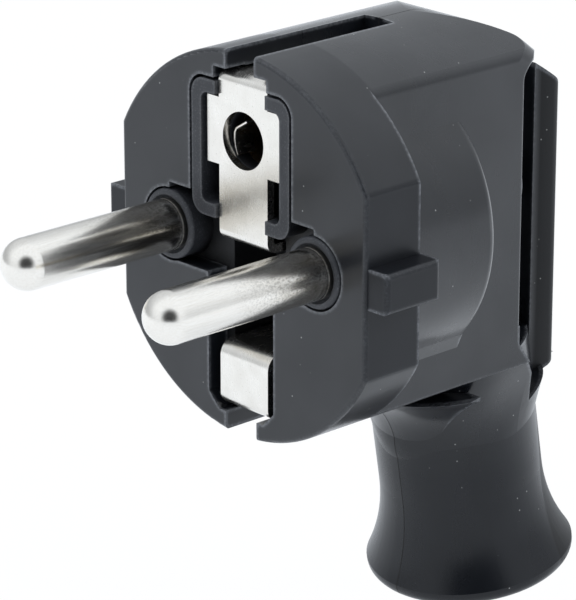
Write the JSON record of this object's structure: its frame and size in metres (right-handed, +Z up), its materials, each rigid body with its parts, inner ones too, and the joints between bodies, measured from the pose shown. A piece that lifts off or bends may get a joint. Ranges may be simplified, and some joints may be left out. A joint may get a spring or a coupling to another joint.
{
  "type": "type f plug",
  "caption": "Right-angle rewirable mains plug in dark plastic: round pins, spring earth strips in side slots, a round earth receptacle and a flared neck for the cord.",
  "frame": {"origin": "centre of the engaging face, midway between the contact pins", "axes": "+Z up, away from the handle; the contact pins point to -Y; +X is the side without screws"},
  "size_m": [0.0366, 0.0588, 0.058],
  "materials": {
    "shell_plastic": "dark grey-black moulded thermoplastic, semi-gloss",
    "insert_plastic": "dark grey moulded plastic, fine matt texture",
    "pin_nickel": "polished nickel plating with lengthwise wear",
    "strip_nickel": "bright satin nickel plating",
    "spring_bronze": "plain spring bronze, satin",
    "inner_brass": "turned brass",
    "screw_steel": "zinc plated steel",
    "grip_rubber": "dark soft grip ring"
  },
  "bodies": {
    "root": {"left_half_shell": "shell_plastic", "right_half_shell": "shell_plastic", "pin_carrier": "insert_plastic", "earth_strip_top": "strip_nickel", "earth_strip_bottom": "strip_nickel", "receptacle_spring": "spring_bronze", "earth_terminal_nut": "inner_brass", "earth_terminal_washer": "screw_steel", "earth_terminal_screw": "screw_steel", "contact_pin_left": "pin_nickel", "contact_pin_right": "pin_nickel", "terminal_screw_left": "screw_steel", "terminal_screw_right": "screw_steel", "pressure_plate_left": "screw_steel", "pressure_plate_right": "screw_steel", "cord_grip_left": "grip_rubber", "cord_grip_right": "grip_rubber", "housing_screw_top": "screw_steel", "housing_screw_rear": "screw_steel", "housing_screw_bottom": "screw_steel", "housing_insert_top": "inner_brass", "housing_insert_rear": "inner_brass", "housing_insert_bottom": "inner_brass"}
  },
  "joints": []
}
